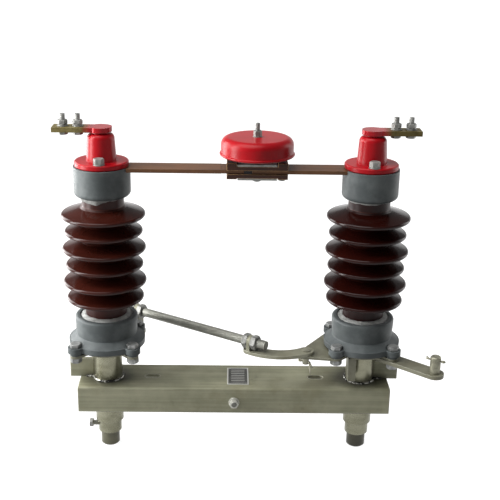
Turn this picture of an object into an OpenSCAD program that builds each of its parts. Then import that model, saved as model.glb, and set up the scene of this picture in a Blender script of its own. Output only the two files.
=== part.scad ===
// Outdoor disconnect switch, one pole: two porcelain posts turn on a channel beam
// and swing two flat blades apart in the middle. Millimetres, +Z up.
// Origin: middle of the beam, on the underside of its web. Posts stand along X.

/* [Beam] */
// Length of beam past each post axis
beam_past = 44; // [36:1:80]
// Width over the beam's flanges
beam_w = 85; // [80:1:110]
// Height of the beam, web and flanges together
beam_h = 42; // [36:1:60]
// Thickness of web and flanges
beam_t = 5; // [4:0.5:8]
// Inner corner radius between web and flange
beam_fillet = 6; // [3:0.5:9]
// Outer corner radius between web and flange
beam_round = 3; // [1:0.5:5]
// Distance between the two mounting slots
slot_spacing = 260; // [220:1:280]
// Length of a mounting slot, end to end
slot_l = 24; // [18:1:30]
// Width of a mounting slot
slot_w = 12; // [9:0.5:14]

/* [Bearings] */
// Distance between the two post axes
post_spacing = 400; // [400:1:440]
// Outer diameter of a bearing tube
tube_d = 44.4; // [40:0.2:48]
// Depth of the tube below the beam's flanges
tube_drop = 32.5; // [20:0.5:50]
// Diameter of the turning shaft
shaft_d = 29.5; // [24:0.5:32]
// Length of shaft below the collar
shaft_end = 24.5; // [10:0.5:40]
// Outer diameter of the collar that keeps the shaft down
collar_d = 37; // [35:0.5:44]
// Height of the collar
collar_h = 19.5; // [14:0.5:26]
// Across-flats size of the collar's set screw
screw_af = 13; // [10:1:14]
// Thickness of a stop fin on the beam
fin_t = 6; // [4:0.5:8]
// Reach of a stop fin from the post axis
fin_reach = 60; // [50:1:66]
// Height of a stop fin above the beam
fin_h = 31; // [20:1:32]

/* [Cranks] */
// Height of the seat plates' underside above the beam
seat_lift = 53; // [50:1:60]
// Thickness of the seat plates and cranks
seat_t = 4; // [3:0.5:8]
// Radius of the round part of a seat plate
seat_r = 46; // [42:1:50]
// Radius of a seat plate's lug round its bolt
seat_lug_r = 9; // [8:0.5:11]
// Radius from post axis to crank pivot
crank_r = 95; // [88:1:100]
// Direction of the right crank from its post
crank_angle = 200; // [195:1:206]
// Radius of a crank's tip
crank_tip_r = 13; // [11:0.5:16]
// Diameter of the crank pins
crank_pin_d = 10; // [8:0.5:14]
// Height of the crank pins' riveted heads
crank_head_h = 1; // [0.5:0.5:4]
// How far the right crank pin hangs below its crank
crank_pin_drop = 13; // [10:1:30]
// Direction of the drive arm from the right post
arm_angle = -41; // [-46:1:-38]
// Radius from right post axis to the drive pin
arm_r = 133; // [115:1:150]
// Width of the drive arm
arm_w = 28; // [26:1:36]
// Thickness of the drive arm
arm_t = 6; // [4:0.5:8]
// Diameter of the drive pin
drive_pin_d = 16; // [12:0.5:18]
// Step from the drive pin's side to its riveted shank
drive_pin_step = 2; // [1:0.5:3]
// Height of the drive pin above the arm
drive_pin_h = 27; // [18:1:40]
// Direction of the hanging stop bar from the right post
stop_angle = -117; // [-130:1:-114]
// Side of the square stop bar
stop_t = 12; // [8:0.5:12]
// Radius from right post axis to the middle of the stop bar
stop_r = 40; // [36:1:46]
// Turn of the stop bar about its own axis
stop_turn = 30; // [0:1:45]
// Gap between the stop bar and the beam
stop_gap = 14; // [6:1:18]

/* [Connecting rod] */
// Diameter of the connecting rod
rod_d = 14; // [10:0.5:16]
// Distance from the middle of the linkage to the right lug
rod_right = 103; // [95:1:110]
// Distance from the middle of the linkage to the left lug
rod_left = 118; // [110:1:125]
// Direction of the rod, right end, seen from above
rod_angle = -33; // [-36:1:-30]
// Height of the rod's axis above the seat plates
rod_lift = 17; // [15:0.5:22]
// Length of rod past a lug
rod_stub = 27; // [22:1:34]
// Across-flats size of the rod nuts
rod_nut_af = 21; // [18:1:24]
// Thickness of a rod nut
rod_nut_h = 9; // [7:0.5:11]
// Width of a curved link
link_w = 24; // [18:1:26]
// Thickness of a curved link
link_t = 5; // [4:0.5:6]
// How far a curved link bows out from the straight line
link_bow = 14; // [10:1:18]
// Thickness of a link's upturned lug
lug_t = 6; // [4:0.5:8]
// Width of the lugs that hold the connecting rod
lug_w = 21; // [18:0.5:24]

/* [Insulators] */
// Radius of the large sheds
shed_big_r = 63.2; // [58:0.1:68]
// Radius of the small sheds
shed_small_r = 58.8; // [54:0.1:62]
// Radius of the porcelain core
core_r = 31.5; // [28:0.5:34]
// Height from one shed to the next
shed_pitch = 26.5; // [24:0.1:30]
// Number of sheds
shed_count = 6; // [4:1:7]
// Radius of the rounded rim of a shed
shed_rim_r = 3.2; // [2:0.1:4]
// Rise of a shed's upper side from rim to core
shed_rise = 11.5; // [8:0.5:14]
// Height from the base fitting's rim to the lowest shed
lower_neck = 29; // [26:1:36]
// Height from the top shed to the top fitting
upper_neck = 29.5; // [22:0.5:36]

/* [Fittings] */
// Radius of the base fitting's rim
base_rim_r = 48.2; // [45:0.1:50]
// Height of the base fitting
base_fit_h = 52; // [44:1:60]
// Height of the raised face under the base flange
foot_h = 4; // [2:0.5:6]
// Radius of the raised face under the base flange
foot_r = 48; // [42:1:52]
// Thickness of the base flange
flange_t = 9; // [7:0.5:12]
// Radius of the round part of the base flange
flange_r = 59; // [54:0.5:62]
// Draft of the base fitting's cup from rim to waist
cup_draft = 1.5; // [0:0.5:4]
// Room round a flange bolt head on its spot face
spot_margin = 1; // [0.5:0.5:2]
// Depth of the spot faces under the flange bolt heads
spot_depth = 0.5; // [0.2:0.1:1]
// Height of the slope from flange to cup
flange_slope = 8; // [5:0.5:10]
// Half the side of the flange bolts' square
flange_bolt_half = 43.5; // [42:0.5:46]
// Radius of a flange lug round its bolt
flange_lug_r = 12; // [10:0.5:12.5]
// Diameter of the flange bolts
flange_bolt_d = 10; // [8:1:12]
// Across-flats size of the flange bolts
flange_bolt_af = 16; // [13:1:18]
// Depth of the cement socket in each fitting
socket_depth = 34; // [24:1:36]
// Thickness of the cement round the porcelain's foot
cement_t = 9; // [5:0.5:10]
// Thickness of the cement round the porcelain's head
head_cement_t = 3; // [1:0.5:4]
// How far the cement lies below the fitting's edge
cement_sunk = 1.5; // [0:0.5:4]
// Radius of the top fitting
top_fit_r = 42.3; // [41:0.1:46]
// Height of the top fitting
top_fit_h = 45; // [40:1:55]
// Rounding of the top fitting's lower edge
top_fit_round = 7; // [3:0.5:9]

/* [Caps and terminals] */
// Radius of the cap's flange disc
cap_disc_r = 40.3; // [38:0.1:42]
// Thickness of the cap's flange disc
cap_disc_t = 8.5; // [5:0.5:10]
// Radius at the foot of the bell
bell_foot_r = 22.4; // [20:0.1:24]
// Radius at the bell's shoulder
bell_top_r = 20.3; // [18:0.1:22]
// Height of the bell
bell_h = 41; // [30:1:44]
// Rounding of the bell's shoulder
bell_round = 8; // [5:0.5:10]
// Radius of the neck under the terminal
neck_r = 13; // [10:0.5:14]
// Height of the neck under the terminal
neck_h = 2; // [1:0.5:10]
// Radius of the terminal's swivel spigot
spigot_r = 7; // [5:0.5:8]
// Across-flats size of the cap bolts
cap_bolt_af = 14; // [10:1:16]
// Distance of the cap bolts from the post axis
cap_bolt_pos = 31.5; // [31:0.5:32]
// Radius of the terminal's round end
terminal_r = 17; // [15:0.5:20]
// Thickness of the terminal bar
terminal_t = 7; // [5:0.5:9]
// Width of the terminal plate
terminal_w = 27; // [22:1:30]
// Reach of the terminal plate from the post axis
terminal_reach = 70; // [68:1:90]
// Distance of the inner terminal bolt from the post axis
terminal_bolt_in = 33; // [30:0.5:34]
// Distance between the two terminal bolts
terminal_bolt_gap = 22; // [18:0.5:24]
// Diameter of the terminal bolts
terminal_bolt_d = 8; // [6:1:10]
// Length of threaded end above a terminal nut
terminal_stud_l = 9; // [6:0.5:14]
// Depth of the plain neck where a terminal bolt leaves its nut
stud_neck = 0.5; // [0.3:0.1:0.8]
// Across-flats size of the terminal bolts
terminal_bolt_af = 13; // [10:1:15]

/* [Blades and contact] */
// Width of a blade
blade_w = 39; // [30:1:42]
// Thickness of a blade
blade_t = 5.5; // [4:0.5:7]
// Distance of the contact's centre bolt from mid span
contact_x = 30; // [20:1:36]
// Gap from the centre bolt to the left blade's tip
tip_gap = 19.5; // [16:0.5:24]
// Length of thinned tip outside the fingers
tip_margin = 8; // [4:1:12]
// Length of right blade past the centre bolt
blade_past_bolt = 7; // [6.5:0.5:12]
// Thickness of the contact fingers
finger_t = 6; // [4:0.5:8]
// Length of the contact fingers
finger_reach = 90; // [84:1:96]
// Gap between the centre bolt and a finger on each side
finger_gap = 1; // [0.5:0.5:3]
// Overhang of the fingers past the blade's edges
finger_out = 3; // [0:0.5:5]
// Height of the raised pads at the upper fingers' ends
upper_pad_h = 5; // [2:0.5:7]
// Height of the raised pads at the lower fingers' ends
lower_pad_h = 1.5; // [0.5:0.5:5]
// Length of the raised pads at the fingers' ends
finger_pad_l = 15; // [10:1:15]
// Length of the pressure springs
spring_l = 58; // [50:1:58]
// Thickness of the pressure springs
spring_t = 3; // [2:0.5:4]
// Diameter of the contact's centre bolt
centre_bolt_d = 7; // [6:0.5:8]
// Across-flats size of the contact bolts
contact_bolt_af = 11; // [10:0.5:13]
// Height of the nut on the hood
hood_nut_h = 9.4; // [6:0.1:12]
// Length of threaded end above the hood's nut
hood_stud_l = 11; // [6:0.5:20]
// Radius of the spacer under the hood
spacer_r = 5.5; // [4.5:0.5:8]
// Distance from centre bolt to the finger bolt
finger_bolt_pos = 37; // [32:0.5:40]
// Outer radius of the hood's body
hood_r = 53.8; // [50:0.1:58]
// Height of the hood
hood_h = 27; // [24:1:34]
// Wall of the hood
hood_t = 2.5; // [2:0.5:4]
// Rounding of the hood's upper edge
hood_round = 11; // [8:0.5:14]
// How far the hood's rolled lip stands out
hood_lip = 2; // [1:0.1:3]
// Height of the hood's lip above the blades
hood_lift = 19; // [18:0.5:26]

/* [Small pieces] */
// Width of the rating plate along the beam
plate_l = 34; // [24:1:50]
// Depth of the rating plate across the beam
plate_w = 58; // [40:1:70]
// Thickness of the rating plate
plate_t = 1; // [1:0.5:2]
// Distance of the rating plate from mid span
plate_x = 6; // [0:1:20]
// Diameter of the earth bolt's washer
earth_washer_d = 17; // [14:0.5:22]
// Across-flats size of the earth bolt
earth_af = 13; // [10:1:14]

/* [Clearances] */
// Radial clearance of a turning fit
run_clear = 0.05; // [0.02:0.01:0.08]
// Clearance between faces that slide past each other
face_clear = 0.3; // [0.2:0.1:0.5]
// Radial clearance round welded tubes and bolt shanks
weld_clear = 0.1; // [0.05:0.05:0.2]
// Gap that swinging plates keep from the fixed tube
swing_clear = 5.3; // [4:0.1:6]

/* [Hidden] */
half = post_spacing / 2;
beam_l = post_spacing + 2 * beam_past;
beam_top = beam_t;
beam_bottom = beam_t - beam_h;
tube_r = tube_d / 2;
shaft_r = shaft_d / 2;
seat_bottom = beam_top + seat_lift;
seat_top = seat_bottom + seat_t;
tube_bottom = beam_bottom - tube_drop;
collar_top = tube_bottom - face_clear;
collar_bottom = collar_top - collar_h;
bolt_r = flange_bolt_d / 2;
flange_bolt_nut_h = 0.8 * flange_bolt_d;
flange_bolt_head_h = 0.65 * flange_bolt_d;
flange_z = seat_top + foot_h;
flange_top = flange_z + flange_t;
spot_z = flange_top - spot_depth;
spot_r = flange_bolt_af / sqrt(3) + spot_margin;
rim_z = seat_top + base_fit_h;
first_shed_z = rim_z + lower_neck;
last_shed_z = first_shed_z + (shed_count - 1) * shed_pitch;
top_fit_z = last_shed_z + upper_neck;
cap_z = top_fit_z + top_fit_h;
blade_z = cap_z - blade_t;
bell_z = cap_z + cap_disc_t;
neck_z = bell_z + bell_h;
spigot_z = neck_z + neck_h;
spigot_h = 0.7 * terminal_t;
terminal_z = spigot_z + face_clear;
socket_r = core_r + cement_t;
head_socket_r = core_r + head_cement_t;
left_angle = crank_angle - 90;
right_pivot = [half + crank_r * cos(crank_angle), crank_r * sin(crank_angle)];
left_pivot = [-half + crank_r * cos(left_angle), crank_r * sin(left_angle)];
link_mid = (right_pivot + left_pivot) / 2;
right_lug = link_mid + rod_right * [cos(rod_angle), sin(rod_angle)];
left_lug = link_mid - rod_left * [cos(rod_angle), sin(rod_angle)];
crank_pin_r = crank_pin_d / 2;
crank_head_r = 1.4 * crank_pin_r;
drive_rivet_r = drive_pin_d / 2 - drive_pin_step;
right_link_z = seat_top + face_clear;
left_link_z = seat_bottom - flange_bolt_nut_h - 2 * link_t;
rod_z = seat_top + rod_lift;
arm_bottom = seat_bottom - arm_t;
arm_in = tube_r + swing_clear;
blade_top = blade_z + blade_t;
hood_z = blade_top + hood_lift;
left_tip = contact_x - tip_gap;
finger_w = (blade_w - centre_bolt_d) / 2 - finger_gap + finger_out;
thin = 1;
// Sides that would touch a round end as tangents lie this much inside it
hair = 0.2;
$fn = 96;

galvanised = "#8d8a6c";
cast_grey = "#6f7675";
porcelain = "#3f1c17";
cement_white = "#d9d6cd";
paint_red = "#b01c22";
copper = "#8a5f45";
zinc = "#c9c9c4";
brass_plate = "#8b7d45";

// A hexagon bar, given across its flats
module hex(af, h) {
    cylinder(d = af / cos(30), h = h, $fn = 6);
}

// A straight-sided arm between two circles, its sides a hair inside their tangents
module tapered_arm(r1, r2, reach) {
    a = acos((r1 - r2) / reach);
    p1 = (r1 - hair) * [cos(a), sin(a)];
    p2 = [reach, 0] + (r2 - hair) * [cos(a), sin(a)];
    polygon([p1, [p1[0], -p1[1]], [p2[0], -p2[1]], p2]);
    circle(r = r1);
    translate([reach, 0]) circle(r = r2);
}

module slot(l, w, h) {
    for (s = [-1, 1]) translate([s * (l - w) / 2, 0, 0]) cylinder(d = w, h = h);
    translate([-(l - w) / 2, -w / 2, 0]) cube([l - w, w, h]);
}

module at_flange_bolts() {
    for (x = [-1, 1], y = [-1, 1]) translate([x * flange_bolt_half, y * flange_bolt_half, 0]) children();
}

// Round plate with four lugs, as under and on the base fitting
module lugged_outline(r, lug_r) {
    circle(r = r);
    at_flange_bolts() circle(r = lug_r);
    for (a = [45, 135]) rotate(a)
        square([2 * norm([flange_bolt_half, flange_bolt_half]), 2 * (lug_r - hair)], center = true);
}

module base_beam() {
    inner_w = beam_w - 2 * beam_t;
    color(galvanised) difference() {
        translate([-beam_l / 2, 0, 0]) rotate([90, 0, 90]) linear_extrude(beam_l) difference() {
            union() {
                translate([-beam_w / 2, beam_bottom]) square([beam_w, beam_h - beam_round]);
                translate([beam_round - beam_w / 2, beam_bottom]) square([beam_w - 2 * beam_round, beam_h]);
                for (s = [-1, 1]) translate([s * (beam_w / 2 - beam_round), beam_top - beam_round])
                    circle(r = beam_round);
            }
            translate([-inner_w / 2, beam_bottom - thin]) square([inner_w, beam_h - beam_t + thin - beam_fillet]);
            translate([-inner_w / 2 + beam_fillet, beam_bottom])
                square([inner_w - 2 * beam_fillet, beam_h - beam_t]);
            for (s = [-1, 1]) translate([s * (inner_w / 2 - beam_fillet), -beam_fillet])
                circle(r = beam_fillet);
        }
        for (s = [-1, 1]) {
            translate([s * half, 0, -thin]) cylinder(r = tube_r + weld_clear, h = beam_t + 2 * thin);
            translate([s * slot_spacing / 2, 0, -thin]) slot(slot_l, slot_w, beam_t + 2 * thin);
        }
    }
}

// Tube welded through the beam, bored to carry a turning shaft
module bearing_tube(x) {
    color(galvanised) translate([x, 0, tube_bottom]) difference() {
        cylinder(r = tube_r, h = seat_bottom - face_clear - tube_bottom);
        translate([0, 0, -thin])
            cylinder(r = shaft_r + run_clear, h = seat_bottom - tube_bottom + 2 * thin);
    }
}

// Plates on edge, welded to the beam outside each tube
module stop_fins() {
    color(galvanised) for (s = [0, 180]) rotate(s) translate([half + tube_r, -fin_t / 2, beam_top])
        cube([fin_reach - tube_r, fin_t, fin_h]);
}

module rating_plate() {
    color(zinc) translate([plate_x - plate_l / 2, -plate_w / 2, beam_top]) cube([plate_l, plate_w, plate_t]);
}

module earth_bolt() {
    washer_t = 2;
    head_h = 0.5 * earth_af;
    color(zinc) translate([0, -beam_w / 2, beam_bottom / 2]) rotate([90, 0, 0]) {
        cylinder(d = earth_washer_d, h = washer_t);
        translate([0, 0, washer_t]) hex(earth_af, head_h);
    }
}

module shaft(x) {
    chamfer = 2;
    bottom = collar_bottom - shaft_end;
    color(galvanised) translate([x, 0, 0]) rotate_extrude() polygon([
        [0, bottom], [shaft_r - chamfer, bottom], [shaft_r, bottom + chamfer],
        [shaft_r, seat_bottom], [0, seat_bottom]
    ]);
}

// Ring on the shaft under the tube
module collar(x) {
    color(galvanised) translate([x, 0, collar_bottom]) difference() {
        cylinder(d = collar_d, h = collar_h);
        translate([0, 0, -thin]) cylinder(r = shaft_r, h = collar_h + 2 * thin);
    }
}

// Left ring, with the hexagon-headed screw that locks it to the shaft
module left_collar() {
    shank = 9;
    head_h = 0.4 * screw_af;
    collar(-half);
    color(zinc) translate([-half - collar_d / 2, 0, collar_bottom + collar_h / 2]) rotate([0, -90, 0]) {
        cylinder(d = 0.6 * screw_af, h = shank);
        translate([0, 0, shank]) hex(screw_af, head_h);
    }
}

// Plate under a post, drawn out from two of its lugs to the crank's tip; drawn as on the right post
module seat_outline() {
    tip = crank_r * [cos(crank_angle), sin(crank_angle)];
    lugs = [[-flange_bolt_half, -flange_bolt_half], [-flange_bolt_half, flange_bolt_half]];
    lugged_outline(seat_r, seat_lug_r);
    polygon(concat([tip], lugs));
    for (lug = lugs) translate(lug) rotate(atan2(tip[1] - lug[1], tip[0] - lug[0]))
        tapered_arm(seat_lug_r - hair, crank_tip_r, norm(tip - lug));
}

module seat_plate(x, angle) {
    color(galvanised) translate([x, 0, seat_bottom]) difference() {
        rotate(angle - crank_angle) linear_extrude(seat_t) seat_outline();
        at_flange_bolts() translate([0, 0, -thin]) cylinder(r = bolt_r + weld_clear, h = seat_t + 2 * thin);
        rotate(angle) translate([crank_r, 0, -thin]) cylinder(r = crank_pin_r + weld_clear, h = seat_t + 2 * thin);
    }
}

// Square bar welded under the right seat plate; it meets the fin at full opening
module stop_bar() {
    bottom = beam_top + stop_gap;
    color(galvanised) translate([half, 0, bottom]) rotate(stop_angle) translate([stop_r, 0, 0]) rotate(stop_turn)
        translate([-stop_t / 2, -stop_t / 2, 0]) cube([stop_t, stop_t, seat_bottom - bottom]);
}

// Flat bar bolted under the right seat plate
module drive_arm() {
    color(galvanised) translate([half, 0, arm_bottom]) difference() {
        rotate(arm_angle) linear_extrude(arm_t) {
            translate([arm_in, -arm_w / 2]) square([arm_r - arm_in, arm_w]);
            translate([arm_r, 0]) circle(d = arm_w);
        }
        at_flange_bolts() translate([0, 0, -thin]) cylinder(r = bolt_r + weld_clear, h = arm_t + 2 * thin);
        rotate(arm_angle) translate([arm_r, 0, -thin]) cylinder(r = drive_rivet_r, h = arm_t + 2 * thin);
    }
}

// Shouldered pin riveted into the arm's end, for the operating rod
module drive_pin() {
    chamfer = 1.5;
    r = drive_pin_d / 2;
    top = seat_bottom + drive_pin_h;
    color(zinc) translate([half, 0, 0]) rotate(arm_angle) translate([arm_r, 0, 0]) rotate_extrude() polygon([
        [0, arm_bottom], [drive_rivet_r, arm_bottom], [drive_rivet_r, seat_bottom], [r, seat_bottom],
        [r, top - chamfer], [r - chamfer, top], [0, top]
    ]);
}

// Pin with a low riveted head on top
module headed_pin(place, bottom, top) {
    color(zinc) translate([place[0], place[1], 0]) rotate_extrude() polygon([
        [0, bottom], [crank_pin_r, bottom], [crank_pin_r, top],
        [crank_head_r, top], [crank_head_r, top + crank_head_h], [0, top + crank_head_h]
    ]);
}

// Pin through the right crank and the curved link that turns on it
module right_crank_pin() {
    headed_pin(right_pivot, seat_bottom - crank_pin_drop, right_link_z + link_t + face_clear);
}

// Pin of the left crank, which ends just above the left link, where the linkage is open
module left_crank_pin() {
    headed_pin(left_pivot, left_link_z + link_t + face_clear, seat_top);
}

// Cast cup with a lugged flange that holds the porcelain's lower end; it stands on a raised face
module base_fitting(x) {
    round = 4;
    waist = base_rim_r - cup_draft;
    edge = 1.5;
    color(cast_grey) translate([x, 0, 0]) difference() {
        union() {
            translate([0, 0, flange_z]) linear_extrude(flange_t) lugged_outline(flange_r, flange_lug_r);
            at_flange_bolts() translate([0, 0, seat_top]) cylinder(r = seat_lug_r, h = foot_h + thin);
            rotate_extrude() {
                polygon([
                    [0, seat_top], [foot_r, seat_top], [foot_r, flange_z + edge],
                    [flange_r - edge, flange_z + edge], [flange_r - edge, flange_top],
                    [waist, flange_top + flange_slope], [base_rim_r, rim_z - 2 * round],
                    [base_rim_r, rim_z - round], [base_rim_r - round, rim_z], [0, rim_z]
                ]);
                translate([base_rim_r - round, rim_z - round]) circle(r = round);
            }
        }
        translate([0, 0, rim_z - socket_depth]) cylinder(r = socket_r, h = socket_depth + thin);
        at_flange_bolts() translate([0, 0, seat_top - thin])
            cylinder(r = bolt_r + weld_clear, h = foot_h + flange_t + 2 * thin);
        at_flange_bolts() translate([0, 0, spot_z]) cylinder(r = spot_r, h = flange_slope + spot_depth);
    }
}

// Rings of cement that set the porcelain in its two fittings
module cement(x) {
    h = socket_depth - cement_sunk;
    rings = [[rim_z - socket_depth, socket_r], [top_fit_z + cement_sunk, head_socket_r]];
    color(cement_white) translate([x, 0, 0]) for (ring = rings) translate([0, 0, ring[0]]) difference() {
        cylinder(r = ring[1], h = h);
        translate([0, 0, -thin]) cylinder(r = core_r, h = h + 2 * thin);
    }
}

// Glazed porcelain core with large and small sheds by turns, the top one large
module insulator(x) {
    under = 1;
    fillet = 3;
    bottom = rim_z - socket_depth;
    top = top_fit_z + socket_depth;
    color(porcelain) translate([x, 0, 0]) rotate_extrude() {
        translate([0, bottom]) square([core_r, top - bottom]);
        for (i = [0:shed_count - 1]) {
            z = last_shed_z - i * shed_pitch;
            r = (i % 2 == 0 ? shed_big_r : shed_small_r) - shed_rim_r;
            polygon([
                [0, z - under], [core_r, z - under], [r, z - shed_rim_r], [r, z + shed_rim_r],
                [core_r + fillet, z + shed_rise], [core_r, z + shed_rise + fillet], [0, z + shed_rise + fillet]
            ]);
            translate([r, z]) circle(r = shed_rim_r);
        }
    }
}

// Cast cap on the porcelain's upper end, grooved on top for the blade
module top_fitting(x, turn) {
    r = top_fit_r - top_fit_round;
    color(cast_grey) translate([x, 0, 0]) difference() {
        rotate_extrude() {
            translate([0, top_fit_z]) square([r, top_fit_h]);
            translate([0, top_fit_z + top_fit_round]) square([top_fit_r, top_fit_h - top_fit_round]);
            translate([r, top_fit_z + top_fit_round]) circle(r = top_fit_round);
        }
        translate([0, 0, top_fit_z - thin]) cylinder(r = head_socket_r, h = socket_depth + thin);
        rotate(turn) translate([-blade_w / 2, -blade_w / 2, blade_z])
            cube([blade_w / 2 + top_fit_r + thin, blade_w, blade_t + thin]);
    }
}

// Flat copper bar from the left post; its tip is thinned to enter the fingers
module left_blade() {
    tip_l = finger_reach / 2 - tip_gap + tip_margin;
    color(copper) difference() {
        translate([-half - blade_w / 2, -blade_w / 2, blade_z])
            cube([half + blade_w / 2 + left_tip, blade_w, blade_t]);
        for (z = [blade_z - thin, blade_z + blade_t - face_clear])
            translate([left_tip - tip_l, -blade_w, z])
                cube([tip_l + thin, 2 * blade_w, thin + face_clear]);
    }
}

// Flat copper bar from the right post, drilled for the contact's two bolts
module right_blade() {
    start = contact_x - blade_past_bolt;
    color(copper) difference() {
        translate([start, -blade_w / 2, blade_z]) cube([half + blade_w / 2 - start, blade_w, blade_t]);
        for (x = [0, finger_bolt_pos]) translate([contact_x + x, 0, blade_z - thin])
            cylinder(r = centre_bolt_d / 2 + weld_clear, h = blade_t + 2 * thin);
    }
}

// Flanged bell over the post's top, ending in the spigot its terminal turns on
module cap(x) {
    edge = 1.5;
    r = bell_top_r - bell_round;
    color(paint_red) translate([x, 0, 0]) rotate_extrude() {
        polygon([
            [0, cap_z], [cap_disc_r - edge, cap_z], [cap_disc_r, cap_z + edge],
            [cap_disc_r, bell_z - edge], [cap_disc_r - edge, bell_z], [bell_foot_r, bell_z],
            [bell_top_r, neck_z - bell_round], [0, neck_z - bell_round]
        ]);
        translate([r, neck_z - bell_round]) circle(r = bell_round);
        translate([0, neck_z - bell_round]) square([r, bell_round]);
        translate([0, neck_z - thin]) square([neck_r, neck_h + thin]);
        translate([0, spigot_z - thin]) square([spigot_r, spigot_h + thin]);
    }
}

// Bolts beside the blade that hold the cap's disc down
module cap_bolts(x) {
    washer_t = 1.5;
    head_h = 0.6 * cap_bolt_af;
    color(zinc) for (s = [-1, 1]) translate([x, s * cap_bolt_pos, bell_z]) {
        cylinder(d = 1.2 * cap_bolt_af, h = washer_t);
        translate([0, 0, washer_t]) hex(cap_bolt_af, head_h);
    }
}

// Bolts that clamp a base fitting to its seat plate, nuts below plate or arm
module flange_bolts(x, with_arm) {
    color(zinc) translate([x, 0, 0]) for (sx = [-1, 1], sy = [-1, 1]) {
        grip_z = with_arm && sx > 0 && sy < 0 ? arm_bottom : seat_bottom;
        nut_z = grip_z - flange_bolt_nut_h;
        translate([sx * flange_bolt_half, sy * flange_bolt_half, 0]) {
            translate([0, 0, spot_z]) hex(flange_bolt_af, flange_bolt_head_h);
            translate([0, 0, nut_z]) cylinder(r = bolt_r, h = spot_z - nut_z + thin);
            translate([0, 0, nut_z]) hex(flange_bolt_af, flange_bolt_nut_h);
        }
    }
}

// A pair of finger bars side by side, with raised pads at both ends
module finger_pair(pad_h) {
    for (s = [-1, 1]) translate([contact_x, s * ((blade_w - finger_w) / 2 + finger_out), 0]) {
        translate([-finger_reach / 2, -finger_w / 2, 0]) cube([finger_reach, finger_w, finger_t]);
        for (e = [-1, 1]) translate([e * (finger_reach - finger_pad_l) / 2, 0, finger_t + pad_h / 2])
            cube([finger_pad_l, finger_w, pad_h], center = true);
    }
}

module upper_fingers() {
    color(copper) translate([0, 0, blade_top]) finger_pair(upper_pad_h);
}

module lower_fingers() {
    color(copper) translate([0, 0, blade_z]) mirror([0, 0, 1]) finger_pair(lower_pad_h);
}

// Flat springs that press the fingers together from above and below
module pressure_springs() {
    spring_w = blade_w + 2 * finger_out;
    color(zinc) for (z = [blade_top + finger_t, blade_z - finger_t - spring_t])
        translate([contact_x, 0, z]) difference() {
            translate([-spring_l / 2, -spring_w / 2, 0]) cube([spring_l, spring_w, spring_t]);
            translate([0, 0, -thin]) cylinder(r = centre_bolt_d / 2 + weld_clear, h = spring_t + 2 * thin);
        }
}

// Outline of the hood, solid, at one wall's distance inside its skin
module hood_half(inset) {
    r = hood_r - inset;
    round = hood_round - inset;
    h = hood_h - inset;
    square([r, h - round]);
    square([r - round, h]);
    translate([r - round, h - round]) circle(r = round);
}

// Pressed rain hood with a rolled lip, over the contact
module rain_hood() {
    lip_r = 2;
    color(paint_red) translate([contact_x, 0, hood_z]) difference() {
        rotate_extrude() {
            intersection() {
                hood_half(0);
                square([hood_r, hood_h]);
            }
            translate([hood_r - lip_r, 0]) square([hood_lip, 2 * lip_r]);
            translate([hood_r + hood_lip - lip_r, lip_r]) circle(r = lip_r);
        }
        translate([0, 0, -thin]) rotate_extrude() {
            intersection() {
                hood_half(hood_t);
                square([hood_r, hood_h]);
            }
            square([hood_r - hood_t, 2 * thin]);
        }
        cylinder(r = centre_bolt_d / 2 + weld_clear, h = hood_h + thin);
    }
}

// Centre bolt through springs and hood, and the bolt that holds the fingers
module contact_bolts() {
    r = centre_bolt_d / 2;
    nut_h = 0.6 * contact_bolt_af;
    spring_bottom = blade_z - finger_t - spring_t;
    spring_top = blade_top + finger_t + spring_t;
    hood_top = hood_z + hood_h;
    pad_bottom = blade_z - finger_t - lower_pad_h;
    pad_top = blade_top + finger_t + upper_pad_h;
    color(zinc) {
        translate([contact_x, 0, 0]) {
            translate([0, 0, spring_bottom - nut_h]) hex(contact_bolt_af, nut_h);
            translate([0, 0, spring_bottom - thin])
                cylinder(r = r, h = hood_top + hood_nut_h + hood_stud_l - spring_bottom + thin);
            translate([0, 0, spring_top]) cylinder(r = spacer_r, h = hood_top - hood_t - thin - spring_top);
            translate([0, 0, hood_top]) hex(contact_bolt_af, hood_nut_h);
        }
        translate([contact_x + finger_bolt_pos, 0, 0]) {
            translate([0, 0, pad_bottom - nut_h]) hex(contact_bolt_af, nut_h);
            translate([0, 0, pad_bottom - thin]) cylinder(r = r, h = pad_top - pad_bottom + 2 * thin);
            translate([0, 0, pad_top]) hex(contact_bolt_af, nut_h);
        }
    }
}

// Flat crescent from a crank pivot at the origin to the rod's lug along X
module link_outline(chord) {
    arc_r = chord * chord / (8 * link_bow) + link_bow / 2;
    half_angle = asin(chord / 2 / arc_r);
    arc_centre = [chord / 2, link_bow - arc_r];
    far = 2 * (arc_r + link_w);
    intersection() {
        translate(arc_centre) difference() {
            circle(r = arc_r + link_w / 2 - hair);
            circle(r = arc_r - link_w / 2 + hair);
        }
        polygon([
            arc_centre, arc_centre + far * [-sin(half_angle), cos(half_angle)],
            arc_centre + far * [sin(half_angle), cos(half_angle)]
        ]);
    }
    for (x = [0, chord]) translate([x, 0]) circle(d = link_w);
}

// Curved link with its upturned lug, drilled for the rod
module curved_link(pivot, lug, z) {
    way = lug - pivot;
    difference() {
        union() {
            translate([pivot[0], pivot[1], z]) rotate(atan2(way[1], way[0])) linear_extrude(link_t)
                link_outline(norm(way));
            translate([lug[0], lug[1], z]) rotate(rod_angle) translate([-lug_t / 2, 0, 0])
                rotate([90, 0, 90]) linear_extrude(lug_t) {
                    translate([0, rod_z - z]) circle(d = lug_w);
                    translate([hair - lug_w / 2, 0]) square([lug_w - 2 * hair, rod_z - z]);
                }
        }
        translate([lug[0], lug[1], rod_z]) rotate(rod_angle) rotate([0, 90, 0])
            cylinder(r = rod_d / 2 + weld_clear, h = 2 * lug_t, center = true);
    }
}

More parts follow.
